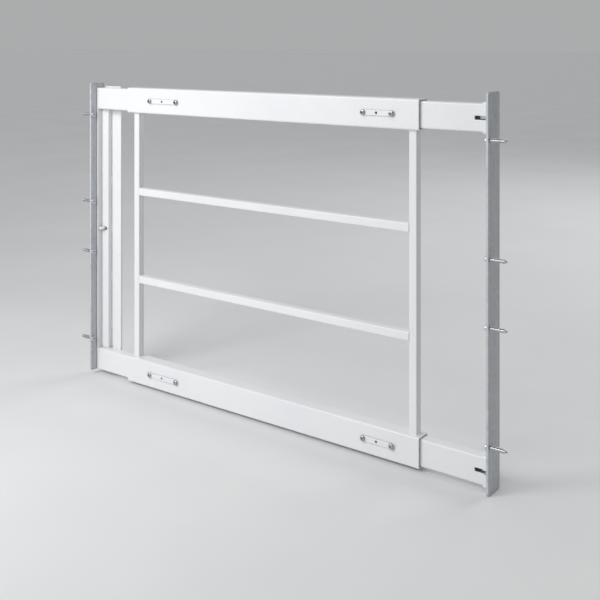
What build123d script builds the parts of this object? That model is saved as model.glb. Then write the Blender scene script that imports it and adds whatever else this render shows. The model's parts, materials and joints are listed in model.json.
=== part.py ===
from build123d import *
from math import atan2, degrees
import os

os.makedirs("parts", exist_ok=True)

# Window security bar: a welded centre frame of two rectangular outer rails, two uprights and two
# crossbars, with slide rails that telescope out of both ends of the outer rails. The left slide
# rails are welded to an end angle that is locked to a jamb plate by a sprung pin. The right slide
# rails plug into two socket cups on the other jamb plate.
#
# Frame: X across the opening, Y from the room towards the glass, Z up. The origin lies on the left
# jamb, on the line of the jamb screws and halfway between them. Lengths are in millimetres.

# ---- Rails: rectangular tubes along X ----
upper_rail_z = 201.95
lower_rail_z = -210.15
rail_levels = {"upper": upper_rail_z, "lower": lower_rail_z}

outer_left = 77.8
outer_length = 512.4
outer_front = 4.0
outer_depth = 21.5
outer_height = 38.1
outer_wall = 1.7
outer_corner = 2.2

slide_length = 265.0
slide_front = 7.6
slide_depth = 15.9
slide_height = 33.6
slide_wall = 1.6
slide_corner = 2.0
slide_end_gap = 1.0

# ---- Grille: square tubes between the outer rails ----
bar_size = 11.1
bar_wall = 1.2
bar_corner = 1.4
bar_front = 8.4
upright_lefts = {"left": 87.1, "right": 573.8}
crossbar_levels = {"upper": 62.2, "lower": -71.9}

# ---- Clamps: a thin strip and two button head screws per rail end ----
# Distances are from the nearer end of the outer rail to the near screw and to the far screw.
clamp_reach = {"left": (49.3, 103.5), "right": (38.0, 80.2)}
strip_height = 7.0
strip_thickness = 1.5
strip_hole_share = 0.47
strip_hole_radius = 1.8
clamp_head_radius = 3.8
clamp_head_height = 2.2
clamp_head_round = 1.7
clamp_shank_radius = 2.0
clamp_hole_radius = 2.05
clamp_tip_gap = 0.05
hex_width = 2.5
hex_depth = 1.4

# ---- Jamb plates and their wood screws ----
overall_width = 686.0
left_plate_height = 454.0
right_plate_height = 466.0
plate_thickness = 3.0
plate_corner = 4.0
screw_setback = 4.2
left_plate_depth = 28.0
left_screw_y = 0.0
right_plate_depth = 30.0
right_screw_y = 1.0
edge_break = 0.4
jamb_screw_levels = (177.0, 39.7, -39.7, -177.0)
jamb_hole_radius = 2.5
jamb_neck_radius = 2.3
jamb_shank_radius = 2.0
jamb_shank_length = 19.0
jamb_point_length = 4.0
jamb_point_radius = 0.2
jamb_head_radius = 4.0
jamb_head_height = 2.4
jamb_head_round = 1.3
recess_length = 4.2
recess_width = 1.0
recess_depth = 1.3
recess_taper = 12

# ---- Left end angle and the housing that closes its corner into a box ----
angle_gap = 0.3
angle_thickness = 3.0
angle_width = 38.0
angle_corner = 2.5
housing_wall = 1.5
housing_web_front = 15.6
housing_width = 14.5
housing_corner = 2.0
housing_inner_corner = 0.5

# ---- Release pin and its spring ----
pin_radius = 2.25
pin_y = 10.6
pin_z = -4.1
pin_tip_x = 0.3
pin_leg_x = 11.7
pin_leg_end_y = 22.5
pin_bend = 3.5
pin_clearance = 0.1
pin_travel = 4.0
slot_end_gap = 0.3
slot_height = 5.3
spring_y = 20.3
spring_wire = 0.3
spring_wide_radius = 2.6
spring_narrow_radius = 1.45
spring_turns = 3

# ---- Right sockets ----
cup_left = 674.9
cup_wall = 1.9
cup_clearance = 0.3
cup_corner = 3.0
socket_pin_radius = 2.0
socket_pin_x = 679.9
socket_hole_gap = 0.05
rail_slot_left = 663.3
rail_slot_height = 4.8
rail_slot_corner = 0.8

# ---- Places worked out from the driving dimensions ----
outer_right = outer_left + outer_length
outer_mid_y = outer_front + outer_depth / 2
slide_mid_y = slide_front + slide_depth / 2
slide_back = slide_front + slide_depth
bar_mid_y = bar_front + bar_size / 2

flange_left = plate_thickness + angle_gap
flange_right = flange_left + angle_thickness
leg_back = slide_back + angle_thickness
leg_right = flange_left + angle_width
leg_top = upper_rail_z + outer_height / 2
leg_bottom = lower_rail_z - outer_height / 2
flange_top = upper_rail_z + slide_height / 2
flange_bottom = lower_rail_z - slide_height / 2

housing_top = upper_rail_z - slide_height / 2
housing_bottom = lower_rail_z + slide_height / 2
housing_web_back = housing_web_front + housing_wall
housing_right = flange_right + housing_width
housing_inside = housing_right - housing_wall

right_plate_face = overall_width - plate_thickness
slide_right_end = right_plate_face - slide_end_gap
slide_starts = {"left": flange_right, "right": slide_right_end - slide_length}

bore_radius = pin_radius + pin_clearance
slot_left = pin_leg_x - pin_radius - slot_end_gap
slot_length = 2 * pin_radius + pin_travel + 2 * slot_end_gap


def clamp_positions(side):
    """X of the left and right screw of a rail end's clamp."""
    near, far = clamp_reach[side]
    if side == "left":
        return outer_left + near, outer_left + far
    return outer_right - far, outer_right - near


def open_hole_x(side):
    """X of the small open hole in a rail end's clamp strip."""
    left_x, right_x = clamp_positions(side)
    return left_x + strip_hole_share * (right_x - left_x)


# ---- Outer rails ----
for level, mid_z in rail_levels.items():
    with BuildPart() as outer_rail:
        with BuildSketch(Plane.YZ.offset(outer_left)):
            with Locations((outer_mid_y, mid_z)):
                RectangleRounded(outer_depth, outer_height, outer_corner)
                RectangleRounded(
                    outer_depth - 2 * outer_wall,
                    outer_height - 2 * outer_wall,
                    outer_corner - outer_wall,
                    mode=Mode.SUBTRACT,
                )
        extrude(amount=outer_length)
        # Holes through the front wall: two tapped ones a clamp and the strip's open hole.
        screw_xs = clamp_positions("left") + clamp_positions("right")
        with BuildSketch(Plane.XZ.offset(-outer_front)):
            with Locations(*[(x, mid_z) for x in screw_xs]):
                Circle(clamp_hole_radius)
            with Locations(*[(open_hole_x(side), mid_z) for side in clamp_reach]):
                Circle(strip_hole_radius)
        extrude(amount=-outer_wall, mode=Mode.SUBTRACT)
    outer_rail.part.label = f"{level}_outer_rail"
    export_step(outer_rail.part, f"parts/{level}_outer_rail.step")


# ---- Uprights, butted between the outer rails ----
upright_bottom = lower_rail_z + outer_height / 2
upright_length = upper_rail_z - outer_height / 2 - upright_bottom
for side, left in upright_lefts.items():
    with BuildPart() as upright:
        with BuildSketch(Plane.XY.offset(upright_bottom)):
            with Locations((left + bar_size / 2, bar_mid_y)):
                RectangleRounded(bar_size, bar_size, bar_corner)
                Rectangle(bar_size - 2 * bar_wall, bar_size - 2 * bar_wall, mode=Mode.SUBTRACT)
        extrude(amount=upright_length)
    upright.part.label = f"{side}_upright"
    export_step(upright.part, f"parts/{side}_upright.step")


# ---- Crossbars, butted between the uprights ----
crossbar_left = upright_lefts["left"] + bar_size
crossbar_length = upright_lefts["right"] - crossbar_left
for level, mid_z in crossbar_levels.items():
    with BuildPart() as crossbar:
        with BuildSketch(Plane.YZ.offset(crossbar_left)):
            with Locations((bar_mid_y, mid_z)):
                RectangleRounded(bar_size, bar_size, bar_corner)
                Rectangle(bar_size - 2 * bar_wall, bar_size - 2 * bar_wall, mode=Mode.SUBTRACT)
        extrude(amount=crossbar_length)
    crossbar.part.label = f"{level}_crossbar"
    export_step(crossbar.part, f"parts/{level}_crossbar.step")


# ---- Slide rails; the right ones have an open slot that passes over the socket pin ----
for side, start in slide_starts.items():
    for level, mid_z in rail_levels.items():
        with BuildPart() as slide_rail:
            with BuildSketch(Plane.YZ.offset(start)):
                with Locations((slide_mid_y, mid_z)):
                    RectangleRounded(slide_depth, slide_height, slide_corner)
                    RectangleRounded(
                        slide_depth - 2 * slide_wall,
                        slide_height - 2 * slide_wall,
                        slide_corner - slide_wall,
                        mode=Mode.SUBTRACT,
                    )
            extrude(amount=slide_length)
            if side == "right":
                slot_reach = 2 * (slide_right_end - rail_slot_left)
                with BuildSketch(Plane.XZ.offset(-slide_front)):
                    with Locations((slide_right_end, mid_z)):
                        RectangleRounded(slot_reach, rail_slot_height, rail_slot_corner)
                extrude(amount=-slide_depth, mode=Mode.SUBTRACT)
        slide_rail.part.label = f"{side}_{level}_slide_rail"
        export_step(slide_rail.part, f"parts/{side}_{level}_slide_rail.step")


def button_screw():
    """Clamp screw with a button head; its seat is on local XY and its shank points down."""
    shank_length = slide_front - outer_front + strip_thickness - clamp_tip_gap
    with BuildPart() as screw:
        Cylinder(
            clamp_head_radius,
            clamp_head_height,
            align=(Align.CENTER, Align.CENTER, Align.MIN),
        )
        fillet(screw.edges().group_by(Axis.Z)[-1], radius=clamp_head_round)
        with BuildSketch(Plane.XY.offset(clamp_head_height)):
            RegularPolygon(hex_width / 2, 6, major_radius=False)
        extrude(amount=-hex_depth, mode=Mode.SUBTRACT)
        Cylinder(
            clamp_shank_radius,
            shank_length,
            align=(Align.CENTER, Align.CENTER, Align.MAX),
        )
        chamfer(screw.edges().group_by(Axis.Z)[0], length=edge_break)
    return screw.part


# ---- Clamp strips and their screws, one pair at each end of each outer rail ----
clamp_screw = button_screw()
for level, mid_z in rail_levels.items():
    for side in clamp_reach:
        left_x, right_x = clamp_positions(side)
        with BuildPart() as strip:
            with BuildSketch(Plane.XZ.offset(-outer_front)):
                with Locations(((left_x + right_x) / 2, mid_z)):
                    SlotCenterToCenter(right_x - left_x, strip_height)
                with Locations((left_x, mid_z), (right_x, mid_z)):
                    Circle(clamp_hole_radius, mode=Mode.SUBTRACT)
                with Locations((open_hole_x(side), mid_z)):
                    Circle(strip_hole_radius, mode=Mode.SUBTRACT)
            extrude(amount=strip_thickness)
            rims = strip.faces().filter_by(Axis.Y)
            fillet([edge for rim in rims for edge in rim.outer_wire().edges()], radius=edge_break)
        strip.part.label = f"{level}_{side}_clamp_strip"
        export_step(strip.part, f"parts/{level}_{side}_clamp_strip.step")

        seat_y = outer_front - strip_thickness
        seats = [Plane((x, seat_y, mid_z), z_dir=(0, -1, 0)) for x in (left_x, right_x)]
        with BuildPart() as clamp_screws:
            with Locations(*seats):
                add(clamp_screw)
        clamp_screws.part.label = f"{level}_{side}_clamp_screws"
        export_step(clamp_screws.part, f"parts/{level}_{side}_clamp_screws.step")


# ---- Left jamb plate, with the hole that the release pin locks into ----
with BuildPart() as left_jamb_plate:
    with BuildSketch(Plane.YZ):
        with Locations((left_screw_y - screw_setback + left_plate_depth / 2, 0)):
            RectangleRounded(left_plate_depth, left_plate_height, plate_corner)
    extrude(amount=plate_thickness)
    chamfer(left_jamb_plate.faces().sort_by(Axis.X)[-1].edges(), length=edge_break)
    with BuildSketch(Plane.YZ):
        with Locations(*[(left_screw_y, z) for z in jamb_screw_levels]):
            Circle(jamb_hole_radius)
        with Locations((pin_y, pin_z)):
            Circle(bore_radius)
    extrude(amount=plate_thickness, mode=Mode.SUBTRACT)
left_jamb_plate.part.label = "left_jamb_plate"
export_step(left_jamb_plate.part, "parts/left_jamb_plate.step")


# ---- Right jamb plate ----
with BuildPart() as right_jamb_plate:
    with BuildSketch(Plane.YZ.offset(right_plate_face)):
        with Locations((right_screw_y - screw_setback + right_plate_depth / 2, 0)):
            RectangleRounded(right_plate_depth, right_plate_height, plate_corner)
    extrude(amount=plate_thickness)
    chamfer(right_jamb_plate.faces().sort_by(Axis.X)[0].edges(), length=edge_break)
    with BuildSketch(Plane.YZ.offset(right_plate_face)):
        with Locations(*[(right_screw_y, z) for z in jamb_screw_levels]):
            Circle(jamb_hole_radius)
    extrude(amount=plate_thickness, mode=Mode.SUBTRACT)
right_jamb_plate.part.label = "right_jamb_plate"
export_step(right_jamb_plate.part, "parts/right_jamb_plate.step")


def pan_screw():
    """Pan head wood screw; its seat is on local XY and its point is down."""
    shank_end = -plate_thickness - jamb_shank_length
    with BuildPart() as screw:
        with BuildSketch(Plane.XZ):
            with BuildLine():
                Polyline(
                    (0, 0),
                    (jamb_neck_radius, 0),
                    (jamb_neck_radius, -plate_thickness),
                    (jamb_shank_radius, -plate_thickness),
                    (jamb_shank_radius, shank_end),
                    (jamb_point_radius, shank_end - jamb_point_length),
                    (0, shank_end - jamb_point_length),
                    close=True,
                )
            make_face()
        revolve(axis=Axis.Z)
        Cylinder(
            jamb_head_radius,
            jamb_head_height,
            align=(Align.CENTER, Align.CENTER, Align.MIN),
        )
        fillet(screw.edges().group_by(Axis.Z)[-1], radius=jamb_head_round)
        # Cross recess: two slots at right angles, narrowing with depth.
        with BuildSketch(Plane.XY.offset(jamb_head_height)):
            Rectangle(recess_length, recess_width)
            Rectangle(recess_width, recess_length)
        extrude(amount=-recess_depth, taper=recess_taper, mode=Mode.SUBTRACT)
    return screw.part


# ---- Jamb screws, four a side, pointing away from the opening ----
jamb_screw = pan_screw()
jamb_sides = {
    "left": (plate_thickness, left_screw_y, 1),
    "right": (right_plate_face, right_screw_y, -1),
}
for side, (seat_x, seat_y, head_side) in jamb_sides.items():
    seats = [Plane((seat_x, seat_y, z), z_dir=(head_side, 0, 0)) for z in jamb_screw_levels]
    with BuildPart() as jamb_screws:
        with Locations(*seats):
            add(jamb_screw)
    jamb_screws.part.label = f"{side}_jamb_screws"
    export_step(jamb_screws.part, f"parts/{side}_jamb_screws.step")


# ---- Left end angle: flange against the jamb plate, wide leg behind the slide rails ----
with BuildPart() as left_end_angle:
    with BuildSketch(Plane.XY.offset(leg_bottom)):
        with BuildLine():
            Polyline(
                (flange_left, slide_front),
                (flange_right, slide_front),
                (flange_right, slide_back),
                (leg_right, slide_back),
                (leg_right, leg_back),
                (flange_left, leg_back),
                close=True,
            )
        make_face()
    extrude(amount=leg_top - leg_bottom)
    # The flange is cut back to the slide rails; the leg keeps the outer rails' full height.
    for cut_from, cut_to in ((flange_top, leg_top), (leg_bottom, flange_bottom)):
        with BuildSketch(Plane.XY.offset(cut_from)):
            with Locations((flange_left, slide_front)):
                Rectangle(angle_thickness, slide_depth, align=Align.MIN)
        extrude(amount=cut_to - cut_from, mode=Mode.SUBTRACT)
    upright_edges = left_end_angle.edges().filter_by(Axis.Z)
    bend_edge = upright_edges.group_by(Axis.X)[0].sort_by(Axis.Y)[-1]
    fillet(bend_edge, radius=angle_corner)
    leg_edges = left_end_angle.edges().filter_by(Axis.Z).group_by(Axis.X)[-1]
    fillet(leg_edges, radius=edge_break)
    with BuildSketch(Plane.YZ.offset(flange_left)):
        with Locations((pin_y, pin_z)):
            Circle(bore_radius)
    extrude(amount=angle_thickness, mode=Mode.SUBTRACT)
left_end_angle.part.label = "left_end_angle"
export_step(left_end_angle.part, "parts/left_end_angle.step")


# ---- Lock housing: a thin folded strip between the slide rails ----
with BuildPart() as lock_housing:
    with BuildSketch(Plane.XY.offset(housing_bottom)) as fold:
        with BuildLine():
            Polyline(
                (flange_right, housing_web_front),
                (housing_right, housing_web_front),
                (housing_right, slide_back),
                (housing_inside, slide_back),
                (housing_inside, housing_web_back),
                (flange_right, housing_web_back),
                close=True,
            )
        make_face()
        fillet(fold.vertices().group_by(Axis.X)[-1].sort_by(Axis.Y)[0], radius=housing_corner)
    extrude(amount=housing_top - housing_bottom)
    # Slot that lets the pin's leg travel.
    with BuildSketch(Plane.XZ.offset(-housing_web_front)):
        with Locations((slot_left + slot_length / 2, pin_z)):
            SlotOverall(slot_length, slot_height)
    extrude(amount=-housing_wall, mode=Mode.SUBTRACT)
lock_housing.part.label = "lock_housing"
export_step(lock_housing.part, "parts/lock_housing.step")


# ---- Release pin: a bent rod whose tip locks into the jamb plate ----
with BuildPart() as release_pin:
    with BuildLine(Plane.XY.offset(pin_z)):
        FilletPolyline(
            (pin_tip_x, pin_y),
            (pin_leg_x, pin_y),
            (pin_leg_x, pin_leg_end_y),
            radius=pin_bend,
        )
    with BuildSketch(Plane((pin_tip_x, pin_y, pin_z), z_dir=(1, 0, 0))):
        Circle(pin_radius)
    sweep()
    chamfer(release_pin.edges().group_by(Axis.X)[0], length=edge_break)
    chamfer(release_pin.edges().group_by(Axis.Y)[-1], length=edge_break)
release_pin.part.label = "release_pin"
export_step(release_pin.part, "parts/release_pin.step")


# ---- Lock spring: a conical coil between the pin's leg and the housing's side ----
spring_left = pin_leg_x + pin_radius + spring_wire
spring_length = housing_inside - spring_wire - spring_left
spring_flare = degrees(atan2(spring_wide_radius - spring_narrow_radius, spring_length))
with BuildPart() as lock_spring:
    with BuildLine():
        coil = Helix(
            pitch=spring_length / spring_turns,
            height=spring_length,
            radius=spring_narrow_radius,
            center=(spring_left, spring_y, pin_z),
            direction=(1, 0, 0),
            cone_angle=spring_flare,
        )
    with BuildSketch(Plane(coil @ 0, z_dir=coil % 0)):
        Circle(spring_wire)
    sweep(is_frenet=True)
lock_spring.part.label = "lock_spring"
export_step(lock_spring.part, "parts/lock_spring.step")


# ---- Socket cups on the right jamb plate, slotted in line with the rails ----
cup_inner_depth = slide_depth + 2 * cup_clearance
cup_inner_height = slide_height + 2 * cup_clearance
cup_front = slide_front - cup_clearance - cup_wall
cup_back = slide_back + cup_clearance + cup_wall
for level, mid_z in rail_levels.items():
    with BuildPart() as socket_cup:
        with BuildSketch(Plane.YZ.offset(cup_left)):
            with Locations((slide_mid_y, mid_z)):
                RectangleRounded(
                    cup_inner_depth + 2 * cup_wall,
                    cup_inner_height + 2 * cup_wall,
                    cup_corner,
                )
                RectangleRounded(
                    cup_inner_depth,
                    cup_inner_height,
                    cup_corner - cup_wall,
                    mode=Mode.SUBTRACT,
                )
        extrude(amount=right_plate_face - cup_left)
        with BuildSketch(Plane.XZ.offset(-cup_front)):
            with Locations((cup_left, mid_z)):
                SlotOverall(
                    2 * (socket_pin_x - cup_left) + rail_slot_height,
                    rail_slot_height,
                )
        extrude(amount=-cup_wall, mode=Mode.SUBTRACT)
        with BuildSketch(Plane.XZ.offset(-cup_back)):
            with Locations((socket_pin_x, mid_z)):
                Circle(socket_pin_radius + socket_hole_gap)
        extrude(amount=cup_wall, mode=Mode.SUBTRACT)
    socket_cup.part.label = f"{level}_socket_cup"
    export_step(socket_cup.part, f"parts/{level}_socket_cup.step")


# ---- Socket pins, one across each cup, held in its rear wall ----
with BuildPart() as socket_pins:
    with BuildSketch(Plane.XZ.offset(-cup_front)):
        with Locations(*[(socket_pin_x, z) for z in rail_levels.values()]):
            Circle(socket_pin_radius)
    extrude(amount=cup_front - cup_back)
    chamfer(socket_pins.edges().group_by(Axis.Y)[0], length=edge_break)
socket_pins.part.label = "socket_pins"
export_step(socket_pins.part, "parts/socket_pins.step")
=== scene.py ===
import json
import math

import bmesh
import bpy
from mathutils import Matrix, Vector, noise

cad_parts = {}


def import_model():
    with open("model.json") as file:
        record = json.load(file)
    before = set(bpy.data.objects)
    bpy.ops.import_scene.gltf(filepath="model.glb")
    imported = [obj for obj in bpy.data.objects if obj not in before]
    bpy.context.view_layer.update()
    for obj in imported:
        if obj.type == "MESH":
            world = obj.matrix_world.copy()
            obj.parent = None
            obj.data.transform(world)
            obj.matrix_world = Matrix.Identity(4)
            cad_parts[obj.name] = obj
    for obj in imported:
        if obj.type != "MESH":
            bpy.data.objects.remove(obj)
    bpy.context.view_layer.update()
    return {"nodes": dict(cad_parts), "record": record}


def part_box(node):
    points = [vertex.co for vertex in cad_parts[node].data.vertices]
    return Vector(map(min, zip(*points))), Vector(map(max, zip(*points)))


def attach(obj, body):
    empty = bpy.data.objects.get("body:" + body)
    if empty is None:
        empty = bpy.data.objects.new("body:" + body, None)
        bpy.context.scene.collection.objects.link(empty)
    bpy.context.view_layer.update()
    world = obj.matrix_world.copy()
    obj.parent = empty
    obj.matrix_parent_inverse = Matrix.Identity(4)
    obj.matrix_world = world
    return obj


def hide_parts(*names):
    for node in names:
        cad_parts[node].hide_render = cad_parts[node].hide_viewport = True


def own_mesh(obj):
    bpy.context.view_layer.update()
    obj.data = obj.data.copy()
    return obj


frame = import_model()
nodes = frame["nodes"]

MM = 0.001

# ---------------------------------------------------------------- places taken from the frame
low = {name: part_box(name)[0] for name in nodes}
high = {name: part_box(name)[1] for name in nodes}


# ---------------------------------------------------------------- material helpers
class Graph:
    """A material's node tree, with short calls for the nodes used here."""

    def __init__(self, name):
        self.material = bpy.data.materials.new(name)
        self.material.use_nodes = True
        self.tree = self.material.node_tree
        self.shader = self.tree.nodes["Principled BSDF"]
        self.place = self.tree.nodes.new("ShaderNodeTexCoord").outputs["Object"]

    def put(self, socket, value):
        if isinstance(value, bpy.types.NodeSocket):
            self.tree.links.new(value, socket)
        else:
            socket.default_value = value

    def noise(self, scale, detail=2.0, roughness=0.5, place=None):
        node = self.tree.nodes.new("ShaderNodeTexNoise")
        self.put(node.inputs["Vector"], place or self.place)
        self.put(node.inputs["Scale"], scale)
        self.put(node.inputs["Detail"], detail)
        self.put(node.inputs["Roughness"], roughness)
        return node.outputs["Fac"]

    def stretch(self, scale):
        node = self.tree.nodes.new("ShaderNodeMapping")
        self.put(node.inputs["Vector"], self.place)
        self.put(node.inputs["Scale"], scale)
        return node.outputs["Vector"]

    def map(self, value, from_low, from_high, to_low, to_high):
        node = self.tree.nodes.new("ShaderNodeMapRange")
        self.put(node.inputs["Value"], value)
        self.put(node.inputs["From Min"], from_low)
        self.put(node.inputs["From Max"], from_high)
        self.put(node.inputs["To Min"], to_low)
        self.put(node.inputs["To Max"], to_high)
        return node.outputs["Result"]

    def math(self, operation, first, second=0.0):
        node = self.tree.nodes.new("ShaderNodeMath")
        node.operation = operation
        self.put(node.inputs[0], first)
        self.put(node.inputs[1], second)
        return node.outputs["Value"]

    def mix(self, factor, first, second):
        node = self.tree.nodes.new("ShaderNodeMix")
        node.data_type = "RGBA"
        self.put(node.inputs["Factor"], factor)
        self.put(node.inputs["A"], first)
        self.put(node.inputs["B"], second)
        return node.outputs["Result"]

    def bump(self, height, strength, distance, normal=None):
        node = self.tree.nodes.new("ShaderNodeBump")
        self.put(node.inputs["Height"], height)
        self.put(node.inputs["Strength"], strength)
        self.put(node.inputs["Distance"], distance)
        if normal is not None:
            self.put(node.inputs["Normal"], normal)
        return node.outputs["Normal"]

    def rounded_normal(self, radius):
        node = self.tree.nodes.new("ShaderNodeBevel")
        node.samples = 4
        self.put(node.inputs["Radius"], radius)
        return node.outputs["Normal"]

    def edges(self, radius):
        """1 on edges, 0 on flat faces, from how far the rounded normal leans away."""
        geometry = self.tree.nodes.new("ShaderNodeNewGeometry")
        dot = self.tree.nodes.new("ShaderNodeVectorMath")
        dot.operation = "DOT_PRODUCT"
        self.put(dot.inputs[0], geometry.outputs["Normal"])
        self.put(dot.inputs[1], self.rounded_normal(radius))
        return self.map(dot.outputs["Value"], 0.995, 0.80, 0.0, 1.0)

    def crevices(self, distance):
        """1 deep in corners, 0 on open faces."""
        node = self.tree.nodes.new("ShaderNodeAmbientOcclusion")
        node.samples = 4
        self.put(node.inputs["Distance"], distance)
        return self.map(node.outputs["AO"], 0.85, 0.25, 0.0, 1.0)

    def finish(self, **inputs):
        names = {
            "color": "Base Color",
            "rough": "Roughness",
            "metal": "Metallic",
            "normal": "Normal",
            "coat": "Coat Weight",
            "coat_rough": "Coat Roughness",
            "coat_normal": "Coat Normal",
            "aniso": "Anisotropic",
        }
        for key, value in inputs.items():
            self.put(self.shader.inputs[names[key]], value)
        return self.material


def powder_coat(name, tint):
    """Semi-gloss powder coat: orange peel, slow colour drift, dust and painted shade in corners,
    painted shade in tight crevices, worn edges painted lighter as a highlight.
    """
    g = Graph(name)
    drift = g.noise(9.0, 3.0)
    clean = tuple(c * 0.985 for c in tint) + (1.0,)
    cool = (tint[0] * 0.945, tint[1] * 0.955, tint[2] * 0.97, 1.0)
    # darker tint for dust and for the painted shade in corners
    dust_and_shade_tone = (tint[0] * 0.70, tint[1] * 0.69, tint[2] * 0.67, 1.0)
    # lighter tint for worn edges, which also acts as a painted edge highlight
    rubbed_highlight_tone = tuple(min(1.0, c * 1.04) for c in tint) + (1.0,)
    base = g.mix(g.map(drift, 0.35, 0.65, 0.0, 1.0), clean, cool)
    # AO within 7 mm, broken by noise: dust, and painted shade in corners and between parts
    dust_and_shade = g.math("MULTIPLY", g.crevices(0.007), g.map(g.noise(120.0, 3.0), 0.3, 0.7, 0.25, 0.7))
    base = g.mix(dust_and_shade, base, dust_and_shade_tone)
    # painted shade: tight crevices within 1.6 mm darkened towards a third of the tint
    crevice_shade = g.math("MULTIPLY", g.crevices(1.6 * MM), 0.75)
    base = g.mix(crevice_shade, base, tuple(c * 0.34 for c in tint) + (1.0,))
    # edges broken by noise, painted lighter: edge wear and a painted highlight
    wear_and_highlight = g.math("MULTIPLY", g.edges(0.6 * MM), g.map(g.noise(70.0, 4.0, 0.7), 0.45, 0.6, 0.2, 1.0))
    base = g.mix(wear_and_highlight, base, rubbed_highlight_tone)
    rough = g.map(g.noise(35.0, 3.0), 0.3, 0.7, 0.30, 0.42)
    peel = g.bump(g.noise(560.0, 2.0, 0.5), 0.55, 0.00030, g.rounded_normal(0.5 * MM))
    fine = g.bump(g.noise(2600.0, 1.0), 0.14, 0.00008, peel)
    return g.finish(
        color=base, rough=rough, normal=fine, coat=0.35, coat_rough=0.16, coat_normal=peel
    )


def galvanised(name, tint):
    """Dull galvanised sheet: cool grey with a faint spangle, rolled streaks, painted shade in
    corners and a painted highlight on its edges.
    """
    g = Graph(name)
    spangle = g.noise(150.0, 4.0, 0.6)
    streaks = g.noise(260.0, 3.0, place=g.stretch((1.0, 1.0, 0.03)))
    light = tuple(min(1.0, c * 1.14) for c in tint) + (1.0,)
    dark = tuple(c * 0.84 for c in tint) + (1.0,)
    base = g.mix(g.map(spangle, 0.38, 0.62, 0.0, 1.0), dark, tuple(tint) + (1.0,))
    base = g.mix(g.map(streaks, 0.4, 0.7, 0.0, 0.5), base, light)
    # painted shade: corners within 3 mm darkened
    recess_shade = g.math("MULTIPLY", g.crevices(0.003), 0.6)
    base = g.mix(recess_shade, base, tuple(c * 0.35 for c in tint) + (1.0,))
    # painted highlight: every edge lightened to a pale grey
    base = g.mix(g.edges(0.5 * MM), base, (0.86, 0.88, 0.90, 1.0))
    rough = g.map(spangle, 0.35, 0.65, 0.40, 0.54)
    normal = g.bump(streaks, 0.12, 0.00008, g.rounded_normal(0.5 * MM))
    return g.finish(color=base, metal=0.15, rough=rough, normal=normal)


def plated_steel(name, tint, rough_low, rough_high, metal=1.0):
    """Zinc plate: bright metal with fine turned marks, spangle and a few dull spots."""
    g = Graph(name)
    spangle = g.noise(700.0, 2.0)
    dull = tuple(c * 0.62 for c in tint) + (1.0,)
    base = g.mix(g.map(spangle, 0.35, 0.7, 0.0, 0.6), tuple(tint) + (1.0,), dull)
    # painted shade: recesses within 1.5 mm, such as screw sockets, darkened
    recess_shade = g.math("MULTIPLY", g.crevices(0.0015), 0.75)
    base = g.mix(recess_shade, base, tuple(c * 0.22 for c in tint) + (1.0,))
    rough = g.map(g.noise(900.0, 3.0), 0.3, 0.7, rough_low, rough_high)
    marks = g.noise(5200.0, 2.0, place=g.stretch((1.0, 1.0, 0.12)))
    normal = g.bump(marks, 0.10, 0.00004, g.rounded_normal(0.2 * MM))
    return g.finish(color=base, metal=metal, rough=rough, normal=normal, aniso=0.3)


def floor_paint():
    """Plain pale studio floor with a faint mottle."""
    g = Graph("studio_floor")
    mottle = g.map(g.noise(3.0, 4.0), 0.3, 0.7, 0.0, 1.0)
    base = g.mix(mottle, (0.73, 0.735, 0.74, 1.0), (0.77, 0.77, 0.77, 1.0))
    rough = g.map(g.noise(14.0, 3.0), 0.3, 0.7, 0.55, 0.7)
    return g.finish(color=base, rough=rough)


WHITE = (0.83, 0.835, 0.84)
powder = powder_coat("white_powder_coat", WHITE)
clamp_steel = plated_steel("clamp_screw_steel", (0.50, 0.51, 0.525), 0.15, 0.26, 0.9)
zinc = plated_steel("zinc_plate", (0.70, 0.72, 0.75), 0.22, 0.36)
wire = plated_steel("spring_steel", (0.36, 0.37, 0.40), 0.28, 0.40)
plate_steel = galvanised("galvanised_steel", (0.56, 0.585, 0.61))
BY_SLOT = {
    "white_powder_coat": powder,
    "galvanised_steel": plate_steel,
    "clamp_screw_steel": clamp_steel,
    "zinc_plate": zinc,
    "spring_steel": wire,
}


def paint_cad_nodes():
    for part in frame["record"]["subparts"]:
        mesh = nodes[part["node"]].data
        mesh.materials.clear()
        mesh.materials.append(BY_SLOT[part["material_slot"]])


# ---------------------------------------------------------------- mesh helpers
def add_piece(name, bm, body, slot):
    bmesh.ops.recalc_face_normals(bm, faces=bm.faces)
    mesh = bpy.data.meshes.new(name)
    bm.to_mesh(mesh)
    bm.free()
    for polygon in mesh.polygons:
        polygon.use_smooth = True
    piece = bpy.data.objects.new(name, mesh)
    bpy.context.scene.collection.objects.link(piece)
    mesh.materials.append(BY_SLOT[slot])
    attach(piece, body)
    return piece


def skin_rings(bm, rings, closed):
    """Joins rings of vertices into a skin; an open run of rings is capped at both ends."""
    count = len(rings)
    size = len(rings[0])
    for i in range(count if closed else count - 1):
        here, there = rings[i], rings[(i + 1) % count]
        for j in range(size):
            k = (j + 1) % size
            bm.faces.new((here[j], here[k], there[k], there[j]))
    if not closed:
        bm.faces.new(rings[0])
        bm.faces.new(list(reversed(rings[-1])))


# ---------------------------------------------------------------- weld beads
BEAD_SIDES = 5
RIPPLE_PITCH = 1.3 * MM
SINK = 0.25 * MM


def bead_profile(out, up, leg):
    """A fillet bead's section: a corner sunk into the metal and a slightly hollow outer face."""
    points = [-out * SINK - up * SINK, out * leg - up * SINK]
    for i in range(BEAD_SIDES + 1):
        angle = math.pi / 2 * i / BEAD_SIDES
        hollow = 1.0 - 0.42 * math.sin(2 * angle)
        points.append(out * leg * math.cos(angle) * hollow + up * leg * math.sin(angle) * hollow)
    points.append(up * leg - out * SINK)
    return points


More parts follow.
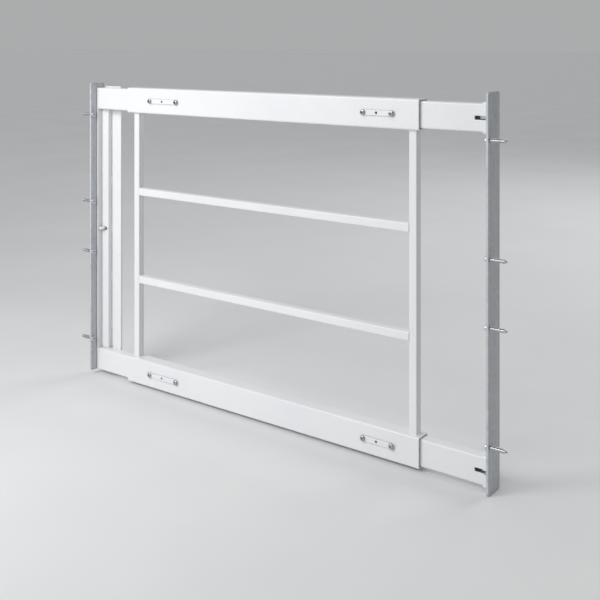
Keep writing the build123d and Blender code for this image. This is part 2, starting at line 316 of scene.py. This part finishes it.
def bead(bm, path, leg, closed, seed):
    """A weld along a path of (point, outward, up, distance) stations, with ripples."""
    rings = []
    last = len(path) - 1
    for i, (point, out, up, distance) in enumerate(path):
        phase = 2 * math.pi * distance / RIPPLE_PITCH
        wander = noise.noise(Vector((distance * 300.0, seed, 0.0)))
        size = leg * (1.0 + 0.11 * math.sin(phase) + 0.16 * wander)
        if not closed:
            size *= math.sqrt(min(1.0, 0.12 + 0.88 * min(i, last - i) / 4.0))
        rings.append([bm.verts.new(point + p) for p in bead_profile(out, up, size)])
    skin_rings(bm, rings, closed)


def straight_path(start, end, out, up, step=0.45 * MM):
    length = (end - start).length
    count = max(8, round(length / step))
    return [
        (start.lerp(end, i / count), out, up, length * i / count) for i in range(count + 1)
    ]


def box_path(low_corner, high_corner, up, radius, open_side=None, step=0.45 * MM):
    """Stations round a rounded rectangle in the plane square to up."""
    drop = max(range(3), key=lambda i: abs(up[i]))
    a, b = [i for i in range(3) if i != drop]
    centre = (low_corner + high_corner) / 2
    half = (high_corner - low_corner) / 2
    corners = ((1, 1, 0), (-1, 1, 90), (-1, -1, 180), (1, -1, 270))
    stations = []
    travelled = 0.0
    for index, (sa, sb, first) in enumerate(corners):
        for i in range(7):
            angle = math.radians(first + 90 * i / 6)
            out = Vector((0, 0, 0))
            out[a], out[b] = math.cos(angle), math.sin(angle)
            point = Vector(centre)
            point[a] += sa * (half[a] - radius) + out[a] * radius
            point[b] += sb * (half[b] - radius) + out[b] * radius
            stations.append((point, out))
        ahead = corners[(index + 1) % 4]
        angle = math.radians(first + 90)
        out = Vector((0, 0, 0))
        out[a], out[b] = math.cos(angle), math.sin(angle)
        start = stations[-1][0]
        end = Vector(centre)
        end[a] += ahead[0] * (half[a] - radius) + out[a] * radius
        end[b] += ahead[1] * (half[b] - radius) + out[b] * radius
        count = max(2, round((end - start).length / step))
        stations += [(start.lerp(end, i / count), out) for i in range(1, count)]
    if open_side is not None:
        stations = [s for s in stations if s[1].dot(open_side) < 0.2]
        gaps = [(stations[i][0] - stations[i - 1][0]).length for i in range(len(stations))]
        first = gaps.index(max(gaps))
        stations = stations[first:] + stations[:first]
    path = []
    for i, (point, out) in enumerate(stations):
        if i:
            travelled += (point - stations[i - 1][0]).length
        path.append((point, out, up, travelled))
    return path


X, Y, Z = Vector((1, 0, 0)), Vector((0, 1, 0)), Vector((0, 0, 1))
BAR_CORNER = 1.4 * MM
SLIDE_CORNER = 2.0 * MM
CUP_CORNER = 3.0 * MM
UPRIGHT_LEG = 1.3 * MM
CROSSBAR_LEG = 1.2 * MM
CROSSBAR_INSET = 0.9 * MM
SLIDE_LEG = 2.2 * MM
CUP_LEG = 2.0 * MM
TACK_LEG = 1.5 * MM
TACK_LENGTH = 13 * MM
TACKS = 5


def corner(x, y, z):
    return Vector((x, y, z))


def upright_welds():
    bm = bmesh.new()
    for seed, side in enumerate(("left", "right")):
        lo, hi = low[f"{side}_upright"], high[f"{side}_upright"]
        for z, up in ((lo.z, Z), (hi.z, -Z)):
            path = box_path(corner(lo.x, lo.y, z), corner(hi.x, hi.y, z), up, BAR_CORNER)
            bead(bm, path, UPRIGHT_LEG, True, seed * 7.0 + z * 50.0)
    return add_piece("upright_welds", bm, "centre_frame", "white_powder_coat")


def crossbar_welds():
    bm = bmesh.new()
    for seed, level in enumerate(("upper", "lower")):
        lo, hi = low[f"{level}_crossbar"], high[f"{level}_crossbar"]
        for x, out in ((lo.x, X), (hi.x, -X)):
            for z, up in ((lo.z, -Z), (hi.z, Z)):
                start = corner(x, lo.y + CROSSBAR_INSET, z)
                end = corner(x, hi.y - CROSSBAR_INSET, z)
                path = straight_path(start, end, out, up)
                bead(bm, path, CROSSBAR_LEG, False, seed * 5.0 + x * 31.0 + z * 17.0)
    return add_piece("crossbar_welds", bm, "centre_frame", "white_powder_coat")


def left_end_welds():
    """Beads from the slide rails to the end angle's leg, and tacks along the lock housing."""
    bm = bmesh.new()
    slide_depth = high["left_upper_slide_rail"].y - low["left_upper_slide_rail"].y
    leg_front = low["left_end_angle"].y + slide_depth
    leg_right = high["left_end_angle"].x
    for seed, level in enumerate(("upper", "lower")):
        lo, hi = low[f"left_{level}_slide_rail"], high[f"left_{level}_slide_rail"]
        outer_z, outer_up = (hi.z, Z) if level == "upper" else (lo.z, -Z)
        inner_z, inner_up = (lo.z, -Z) if level == "upper" else (hi.z, Z)
        for z, up, from_x in (
            (outer_z, outer_up, lo.x + 2 * MM),
            (inner_z, inner_up, high["lock_housing"].x + 1.5 * MM),
        ):
            level_z = z - up.z * SLIDE_CORNER * 0.42
            start = corner(from_x, leg_front, level_z)
            end = corner(leg_right - 1.0 * MM, leg_front, level_z)
            path = straight_path(start, end, -Y, up)
            bead(bm, path, SLIDE_LEG, False, seed * 3.0 + z * 11.0)
    housing_low, housing_high = low["lock_housing"], high["lock_housing"]
    for i in range(TACKS):
        share = (i + 0.5) / TACKS
        mid = housing_low.z + (housing_high.z - housing_low.z) * share
        start = corner(housing_high.x, leg_front, mid - TACK_LENGTH / 2)
        end = corner(housing_high.x, leg_front, mid + TACK_LENGTH / 2)
        bead(bm, straight_path(start, end, X, -Y), TACK_LEG, False, 40.0 + i)
    return add_piece("left_end_welds", bm, "left_end", "white_powder_coat")


def cup_welds():
    """Beads round each cup's foot on the jamb plate, open at the rear."""
    bm = bmesh.new()
    for seed, level in enumerate(("upper", "lower")):
        lo, hi = low[f"{level}_socket_cup"], high[f"{level}_socket_cup"]
        path = box_path(
            corner(hi.x, lo.y, lo.z), corner(hi.x, hi.y, hi.z), -X, CUP_CORNER, open_side=Y
        )
        bead(bm, path, CUP_LEG, False, 60.0 + seed)
    return add_piece("socket_cup_welds", bm, "right_end", "white_powder_coat")


# ---------------------------------------------------------------- lock spring
SPRING_TURNS = 3.0
SPRING_WIRE = 0.3 * MM
SPRING_NARROW = 1.45 * MM
SPRING_WIDE = 2.6 * MM
SPRING_Y = 20.3 * MM
SPRING_STEPS = 36
WIRE_SIDES = 8


def lock_spring_coil():
    """The conical coil, with closed end turns."""
    bm = bmesh.new()
    start, end = low["lock_spring"].x, high["lock_spring"].x
    axis_z = (low["release_pin"].z + high["release_pin"].z) / 2
    count = int((SPRING_TURNS + 2.0) * SPRING_STEPS)
    rings = []
    for i in range(count + 1):
        turn = i / SPRING_STEPS
        share = min(1.0, max(0.0, (turn - 1.0) / SPRING_TURNS))
        radius = SPRING_NARROW + (SPRING_WIDE - SPRING_NARROW) * share
        along = start + SPRING_WIRE + (end - start - 2 * SPRING_WIRE) * share
        out = Y * math.cos(2 * math.pi * turn) + Z * math.sin(2 * math.pi * turn)
        centre = Vector((along, SPRING_Y, axis_z)) + out * radius
        ring = []
        for k in range(WIRE_SIDES):
            angle = 2 * math.pi * k / WIRE_SIDES
            offset = out * math.cos(angle) + X * math.sin(angle)
            ring.append(bm.verts.new(centre + offset * SPRING_WIRE))
        rings.append(ring)
    skin_rings(bm, rings, False)
    coil = add_piece("lock_spring_coil", bm, "left_end", "spring_steel")
    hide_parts("lock_spring")
    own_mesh(coil)


# ---------------------------------------------------------------- wood screw threads
THREAD_PITCH = 1.9 * MM
THREAD_DEPTH = 0.55 * MM
THREAD_WIDTH = 0.95 * MM
THREAD_STEPS = 28
THREAD_CREST = 0.06 * MM
THREAD_SINK = 0.15 * MM
POINT_LENGTH = 4.0 * MM


def thread(bm, tip_x, root_x, y, z, radius, point_length):
    """A helical ridge from the screw's tip to its root along X."""
    direction = 1.0 if root_x > tip_x else -1.0
    length = abs(root_x - tip_x) - 0.8 * MM
    turns = length / THREAD_PITCH
    count = int(turns * THREAD_STEPS)
    rings = []
    for i in range(count + 1):
        travelled = length * i / count + 0.4 * MM
        angle = 2 * math.pi * turns * i / count
        core = radius * min(1.0, 0.1 + 0.9 * travelled / point_length)
        fade = min(1.0, i / 20.0, (count - i) / 14.0)
        depth = THREAD_DEPTH * max(0.04, fade)
        out = Vector((0, math.cos(angle), math.sin(angle)))
        centre = Vector((tip_x + direction * travelled, y, z))
        half = X * THREAD_WIDTH / 2 * max(0.1, fade)
        crest = X * THREAD_CREST
        ring = (
            centre + out * (core - THREAD_SINK) - half,
            centre + out * (core + depth) - crest,
            centre + out * (core + depth) + crest,
            centre + out * (core - THREAD_SINK) + half,
        )
        rings.append([bm.verts.new(p) for p in ring])
    skin_rings(bm, rings, False)


def screw_threads(side, body):
    """One ridge per jamb screw, over the shank that stands out of the plate."""
    bm = bmesh.new()
    mount = [m for m in frame["record"]["mounts"] if m["name"].startswith(side)]
    lo, hi = low[f"{side}_jamb_screws"], high[f"{side}_jamb_screws"]
    y = (lo.y + hi.y) / 2
    radius = mount[0]["dims"]["stud_r_mm"] * MM
    levels = [s * m["dims"]["spacing_y_mm"] * MM / 2 for m in mount for s in (-1, 1)]
    root = mount[0]["pos_m"][0]
    tip = lo.x if side == "left" else hi.x
    for z in levels:
        thread(bm, tip, root, y, z, radius, POINT_LENGTH)
    return add_piece(f"{side}_screw_threads", bm, body, "zinc_plate")


# ---------------------------------------------------------------- stage, light and camera
FLOOR_SIZE = 60.0


def stage():
    """A floor at the part's lowest point, wide enough to meet the world's tone far away."""
    floor_z = min(v.z for v in low.values())
    bm = bmesh.new()
    bmesh.ops.create_grid(bm, x_segments=8, y_segments=8, size=FLOOR_SIZE)
    mesh = bpy.data.meshes.new("floor")
    bm.to_mesh(mesh)
    bm.free()
    floor = bpy.data.objects.new("floor", mesh)
    floor.location = (0.4, 0.0, floor_z)
    bpy.context.scene.collection.objects.link(floor)
    mesh.materials.append(floor_paint())


def area_light(name, place, target, size, power, color=(1, 1, 1)):
    data = bpy.data.lights.new(name, "AREA")
    data.shape = "RECTANGLE"
    data.size, data.size_y = size
    data.energy = power
    data.color = color
    lamp = bpy.data.objects.new(name, data)
    lamp.location = place
    lamp.rotation_euler = (Vector(target) - Vector(place)).to_track_quat("-Z", "Y").to_euler()
    bpy.context.scene.collection.objects.link(lamp)


def sun_light(name, travel, strength, spread):
    """A wide, even light that travels along the given direction."""
    data = bpy.data.lights.new(name, "SUN")
    data.energy = strength
    data.angle = math.radians(spread)
    lamp = bpy.data.objects.new(name, data)
    lamp.rotation_euler = Vector(travel).to_track_quat("-Z", "Y").to_euler()
    bpy.context.scene.collection.objects.link(lamp)


def world(bright_side, dark_side, color):
    """Soft fill, brighter from the left; the camera sees the pale tone of the floor's far edge."""
    scene_world = bpy.data.worlds.new("studio")
    bpy.context.scene.world = scene_world
    scene_world.use_nodes = True
    tree = scene_world.node_tree
    fill = tree.nodes["Background"]
    fill.inputs["Color"].default_value = color
    direction = tree.nodes.new("ShaderNodeTexCoord")
    split = tree.nodes.new("ShaderNodeSeparateXYZ")
    side = tree.nodes.new("ShaderNodeMapRange")
    side.inputs["From Min"].default_value = -0.6
    side.inputs["From Max"].default_value = 0.9
    side.inputs["To Min"].default_value = bright_side
    side.inputs["To Max"].default_value = dark_side
    tree.links.new(direction.outputs["Generated"], split.inputs[0])
    tree.links.new(split.outputs["X"], side.inputs["Value"])
    tree.links.new(side.outputs["Result"], fill.inputs["Strength"])
    seen = tree.nodes.new("ShaderNodeBackground")
    seen.inputs["Color"].default_value = (0.41, 0.413, 0.418, 1.0)
    path = tree.nodes.new("ShaderNodeLightPath")
    mix = tree.nodes.new("ShaderNodeMixShader")
    tree.links.new(path.outputs["Is Camera Ray"], mix.inputs[0])
    tree.links.new(fill.outputs[0], mix.inputs[1])
    tree.links.new(seen.outputs[0], mix.inputs[2])
    tree.links.new(mix.outputs[0], tree.nodes["World Output"].inputs["Surface"])


CAMERA_PLACE = (1.17776, -1.01354, 0.28850)
CAMERA_SHIFT = -0.42714
SHIFT_REACH = 0.01


def shift_only_at_start(view):
    """Keeps the level main view's vertical shift from pushing the object out of an orbit view.

    The shift drops to zero within SHIFT_REACH metres of the main camera place.
    """
    driver = view.data.driver_add("shift_y").driver
    driver.type = "SCRIPTED"
    gaps = []
    for axis, start in zip("xyz", CAMERA_PLACE):
        variable = driver.variables.new()
        variable.name = axis
        variable.type = "TRANSFORMS"
        variable.targets[0].id = view
        variable.targets[0].transform_type = f"LOC_{axis.upper()}"
        variable.targets[0].transform_space = "WORLD_SPACE"
        gaps.append(f"abs({axis} - ({start}))")
    driver.expression = f"{CAMERA_SHIFT} * max(0, 1 - ({' + '.join(gaps)}) / {SHIFT_REACH})"


def camera():
    data = bpy.data.cameras.new("camera")
    data.sensor_width = 36.0
    data.lens = 57.58
    data.clip_start = 0.01
    view = bpy.data.objects.new("camera", data)
    view.location = CAMERA_PLACE
    view.rotation_euler = (math.radians(90), 0, math.radians(37.05))
    bpy.context.scene.collection.objects.link(view)
    bpy.context.scene.camera = view
    shift_only_at_start(view)


paint_cad_nodes()
upright_welds()
crossbar_welds()
left_end_welds()
cup_welds()
lock_spring_coil()
screw_threads("left", "left_end")
screw_threads("right", "right_end")
stage()
world(0.52, 0.16, (0.97, 0.985, 1.0, 1.0))
sun_light("key", (0.02, 0.80, -0.80), 0.70, 40.0)
area_light("front_card", (0.02, -0.80, 0.50), (0.02, 0.0, 0.05), (0.5, 0.6), 5.6)
area_light("back_card", (0.95, 2.3, 1.5), (0.35, 0.0, 0.0), (1.4, 1.4), 20.0)
camera()
bpy.context.scene.view_settings.view_transform = "Standard"
